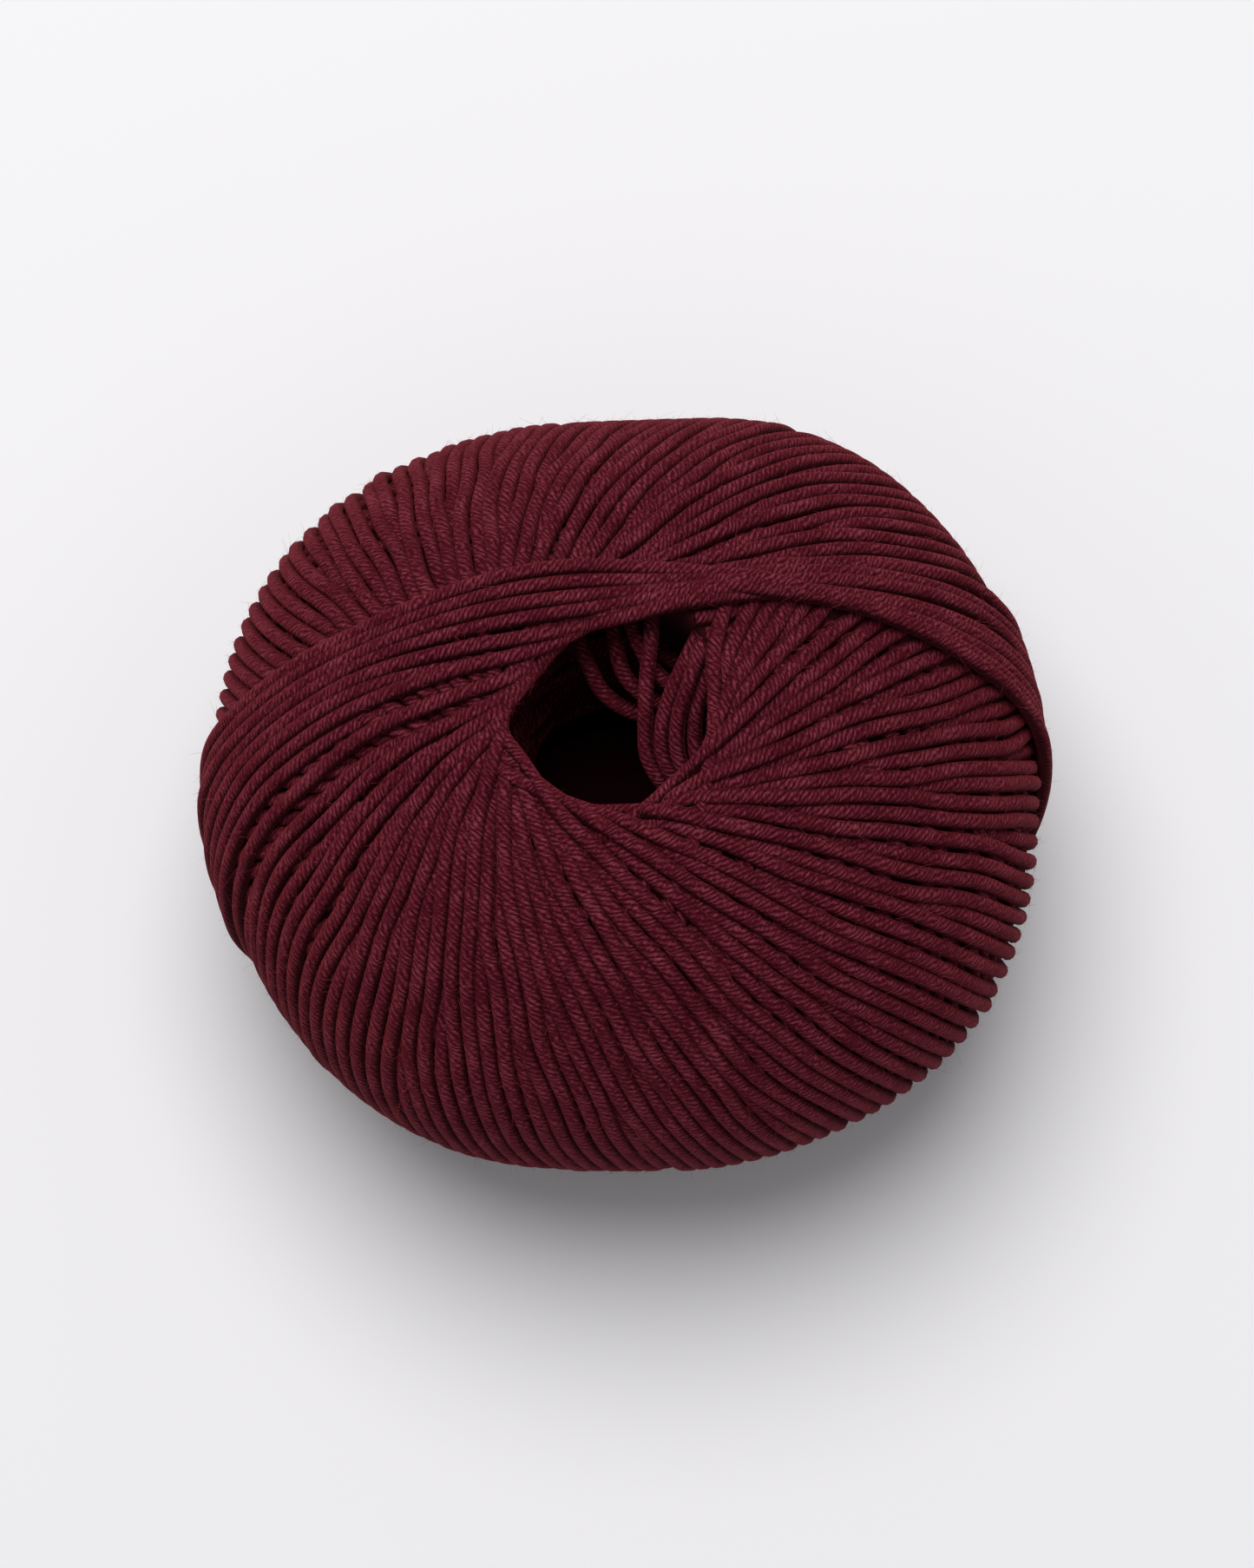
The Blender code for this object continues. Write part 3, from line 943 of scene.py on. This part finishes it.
def yarn_material():
    """The plied yarn, drawn from the UV map named strand."""
    material = plain_material("merino_yarn_plied", DEEP_RED, 0.9, 0.05)
    nodes, links = material.node_tree.nodes, material.node_tree.links
    shader = nodes["Principled BSDF"]

    def calculation(operation):
        """A function that adds one such node and gives its output."""
        return lambda first, second=None: math_node(nodes, links, operation, first, second)

    def noise(vector, scale, detail, dimensions="3D"):
        """A soft random pattern, along a line or in space."""
        node = nodes.new("ShaderNodeTexNoise")
        node.noise_dimensions = dimensions
        node.inputs["Scale"].default_value = scale
        node.inputs["Detail"].default_value = detail
        links.new(vector, node.inputs["W" if dimensions == "1D" else "Vector"])
        return node.outputs[0]

    add, subtract, multiply = calculation("ADD"), calculation("SUBTRACT"), calculation("MULTIPLY")
    divide, fraction, sine = calculation("DIVIDE"), calculation("FRACT"), calculation("SINE")

    # Where a point lies: around and along the strand, and across its ply
    uv = nodes.new("ShaderNodeUVMap")
    uv.uv_map = "strand"
    split = nodes.new("ShaderNodeSeparateXYZ")
    links.new(uv.outputs[0], split.inputs[0])
    around, along = split.outputs[0], split.outputs[1]
    turn_of_plies = subtract(multiply(around, PLIES), divide(along, PLY_STEP))
    phase = add(turn_of_plies, multiply(noise(along, WAVER_SCALE, 1, "1D"), PLY_WAVER))
    place = fraction(phase)
    ridge = multiply(multiply(place, subtract(1.0, place)), 4.0)

    # Flecks and fibres drawn out along the ply, and the uneven dye
    on_ply = nodes.new("ShaderNodeCombineXYZ")
    links.new(phase, on_ply.inputs[0])
    links.new(multiply(along, 1.6), on_ply.inputs[1])
    flecks = noise(on_ply.outputs[0], FLECK_SCALE, 3)
    fibres = noise(on_ply.outputs[0], FIBRE_SCALE, 2)
    dye = noise(along, DYE_SCALE, 2, "1D")

    # How light the yarn is, and its colour for that
    # Painted highlight and shade: the ply crowns are drawn lighter and the valleys between plies darker
    level = multiply(ridge, PLY_PAINTED_SHADE_SHARE)
    for pattern, share in ((flecks, FLECK_SHARE), (fibres, FIBRE_SHARE), (dye, DYE_SHARE)):
        level = add(level, multiply(pattern, share))
    tone = nodes.new("ShaderNodeValToRGB")
    tone.color_ramp.elements[0].position = 0.10
    tone.color_ramp.elements[0].color = SHADE_RED
    tone.color_ramp.elements[1].position = 0.90
    tone.color_ramp.elements[1].color = FLECK_RED
    tone.color_ramp.elements.new(0.48).color = DEEP_RED
    links.new(subtract(level, LEVEL_DROP), tone.inputs[0])

    # Painted shade: darker towards the strand's sides and underside, for the shade between strands
    crown = sine(multiply(around, 2 * math.pi))
    painted_side_shade = nodes.new("ShaderNodeMapRange")
    painted_side_shade.interpolation_type = "SMOOTHSTEP"
    links.new(crown, painted_side_shade.inputs["Value"])
    for socket, value in PAINTED_SIDE_SHADE_RANGE.items():
        painted_side_shade.inputs[socket].default_value = value
    colour_with_painted_shade = nodes.new("ShaderNodeVectorMath")
    colour_with_painted_shade.operation = "SCALE"
    links.new(tone.outputs[0], colour_with_painted_shade.inputs[0])
    links.new(painted_side_shade.outputs[0], colour_with_painted_shade.inputs["Scale"])
    links.new(colour_with_painted_shade.outputs[0], shader.inputs["Base Color"])

    # The plies' relief
    bump = nodes.new("ShaderNodeBump")
    bump.inputs["Strength"].default_value = 0.8
    bump.inputs["Distance"].default_value = 0.00013
    links.new(add(ridge, multiply(fibres, 0.5)), bump.inputs["Height"])
    links.new(bump.outputs[0], shader.inputs["Normal"])
    shader.inputs["Sheen Weight"].default_value = 0.22
    shader.inputs["Sheen Roughness"].default_value = 0.45
    shader.inputs["Sheen Tint"].default_value = SHEEN_RED
    return material


yarn = yarn_material()
for piece in turn_pieces + [centre_piece]:
    piece.data.materials.append(yarn)
# The layers beneath are a darker red than the yarn: painted shade between the strands and in the open centre
core.data.materials.append(plain_material("merino_yarn_beneath_painted_shade", (0.03, 0.003, 0.006, 1), 0.95, 0.1))
print("the yarn has", PLIES, "plies, and each goes once round in", round(PLIES * PLY_STEP, 1), "mm")

# %% [markdown]
# ## The fuzz
#
# Merino is smooth, but some fibre ends always stand off the strand. They are what softens the outline against
# the floor. Each fibre starts on the skin of a strand, follows its plies and lifts away with a curl.

# %% Loose fibre ends
FUZZ_SEED = 23
FIBRES_IN_A_PIECE = 8200
FUZZ_PIECES = 2
FIBRE_RADIUS = 0.000017
FIBRE_STEPS = 4
SHORTEST_FIBRE = 0.4  # in millimetres
ROOT_DEPTH = 0.00004  # in metres, as the radius is
THREE_SIDES = (math.pi / 2, math.pi * 7 / 6, math.pi * 11 / 6)

random = np.random.default_rng(FUZZ_SEED)


def fibre_roots(count):
    """Places on the upper skin of the strands, with the way along and the way out."""
    lengths = np.array([len(made[0]) // SIDES for made in all_tubes])
    chosen = random.choice(len(all_tubes), size=count, p=lengths / lengths.sum())
    roots, ways, outs = [], [], []
    for index in chosen:
        verts = all_tubes[index][0].reshape(-1, SIDES, 3)
        ring = random.integers(0, len(verts) - 1)
        side = random.integers(1, 5)
        roots.append(verts[ring, side])
        ways.append(verts[ring + 1, side] - verts[ring, side])
        outs.append(verts[ring, side] - verts[ring].mean(0))
    return np.array(roots), unit(np.array(ways)), unit(np.array(outs))


def fuzz_piece(name):
    """Many fibres as one object. Each is a thin closed tube of three sides that tapers to its end."""
    roots, ways, outs = fibre_roots(FIBRES_IN_A_PIECE)
    count = len(roots)
    slant = random.normal(0.8, 0.5, (count, 1)) * np.sign(random.normal(size=(count, 1)))
    heading = unit(ways * np.sign(random.normal(size=(count, 1))) + np.cross(outs, ways) * slant)
    side = unit(np.cross(outs, heading))
    length = (SHORTEST_FIBRE + random.gamma(1.5, 0.5, (count, 1))) / 1000
    lift = random.gamma(2.0, 0.14, (count, 1)) / 1000
    curl = random.normal(0, 0.35, (count, 1)) / 1000
    steps = np.linspace(0, 1, FIBRE_STEPS)[:, None, None]
    lines = roots - outs * ROOT_DEPTH + heading * length * steps
    lines = lines + outs * lift * steps**1.3 + side * curl * steps**2
    lines[..., 2] = np.maximum(lines[..., 2], 2 * FIBRE_RADIUS)
    radii = FIBRE_RADIUS * (1 - 0.75 * steps)
    corners = [
        lines + radii * (math.cos(angle) * side + math.sin(angle) * outs) for angle in THREE_SIDES
    ]
    verts = np.stack(corners, 2).transpose(1, 0, 2, 3).reshape(-1, 3)
    walls = []
    for start in range(0, 3 * (FIBRE_STEPS - 1), 3):
        for corner in range(3):
            this, after = start + corner, start + (corner + 1) % 3
            walls.append((this, after, after + 3, this + 3))
    last = 3 * FIBRE_STEPS - 1
    ends = [(0, 2, 1), (last - 2, last - 1, last)]
    first_verts = 3 * FIBRE_STEPS * np.arange(count)[:, None, None]
    quads = (np.array(walls)[None] + first_verts).reshape(-1, 4)
    caps = (np.array(ends)[None] + first_verts).reshape(-1, 3)
    mesh = bpy.data.meshes.new(name)
    mesh.from_pydata(verts.tolist(), [], quads.tolist() + caps.tolist())
    piece = bpy.data.objects.new(name, mesh)
    bpy.context.scene.collection.objects.link(piece)
    print(name, "has", 2 * len(quads) + len(caps), "triangles")
    return piece


fuzz_pieces = [fuzz_piece(f"yarn_fuzz_{number}") for number in range(1, FUZZ_PIECES + 1)]
# The fibres are a brighter red than the strand, as a painted glow for light shining through them at the
# outline
fibre_material_with_painted_glow = plain_material("merino_fibre_painted_glow", (0.32, 0.030, 0.042, 1), 0.7, 0.2)
for piece in fuzz_pieces:
    piece.data.materials.append(fibre_material_with_painted_glow)

# %% [markdown]
# ## The picture
#
# The ball lies on a pale floor. One large soft light above and behind it leaves a faint shadow in front, and
# an even sky fills the rest. The camera stands in front of the ball and looks nearly straight down.

# %% The floor and the light
FLOOR_SIZE = 12.0
FLOOR_COLOUR = (0.86, 0.845, 0.855, 1)
SKY_COLOUR = (0.95, 0.97, 1.0, 1)
SKY_STRENGTH = 0.34
WINDOW_AT = (-0.11, 0.33, 1.12)
WINDOW_AIM = (0, 0, 0.03)
WINDOW_SIZE = 0.88
WINDOW_POWER = 11.6

bpy.ops.object.select_all(action="DESELECT")
bpy.ops.mesh.primitive_plane_add(size=FLOOR_SIZE, location=(0, 0, 0))
floor = bpy.context.object
floor.name = "floor"
floor.data.materials.append(plain_material("pale_floor", FLOOR_COLOUR, 0.9, 0.5))


def soft_light(name, place, aim, size, power):
    """A round lamp at a place, turned towards its aim."""
    data = bpy.data.lights.new(name, "AREA")
    data.shape = "DISK"
    data.size = size
    data.energy = power
    light = bpy.data.objects.new(name, data)
    bpy.context.scene.collection.objects.link(light)
    light.location = place
    way = np.array(aim) - np.array(place)
    light.rotation_euler = Vector(way).to_track_quat("-Z", "Y").to_euler()


soft_light("window", WINDOW_AT, WINDOW_AIM, WINDOW_SIZE, WINDOW_POWER)
world = bpy.data.worlds.new("studio")
bpy.context.scene.world = world
world.use_nodes = True
sky = world.node_tree.nodes["Background"]
sky.inputs["Color"].default_value = SKY_COLOUR
sky.inputs["Strength"].default_value = SKY_STRENGTH
print("the light is", round(math.dist(WINDOW_AT, WINDOW_AIM), 2), "m from the ball")

# %% The camera
CAMERA_ELEVATION = math.radians(77)
CAMERA_DISTANCE = 0.60
FRAME_HEIGHT = 0.1807  # how much the picture spans from its lower to its upper edge, at the ball
AIM = (0.0002, 0.0, 0.032)
AIM_UP = 0.0010

camera_data = bpy.data.cameras.new("camera")
camera = bpy.data.objects.new("camera", camera_data)
bpy.context.scene.collection.objects.link(camera)
up = np.array([0, math.sin(CAMERA_ELEVATION), math.cos(CAMERA_ELEVATION)])
back = np.array([0, -math.cos(CAMERA_ELEVATION), math.sin(CAMERA_ELEVATION)])
camera.location = np.array(AIM) + AIM_UP * up + CAMERA_DISTANCE * back
camera.rotation_euler = (math.pi / 2 - CAMERA_ELEVATION, 0, 0)
camera_data.lens = camera_data.sensor_width / 2 / (FRAME_HEIGHT / 2 / CAMERA_DISTANCE)
camera_data.clip_start = 0.01
bpy.context.scene.camera = camera
bpy.context.scene.view_settings.view_transform = "Standard"
print("the lens is", round(camera_data.lens, 1), "mm long")

# %% Ride the body and finish
for piece in turn_pieces + [centre_piece, core] + fuzz_pieces:
    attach(piece, "root")
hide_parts("yarn_ball")
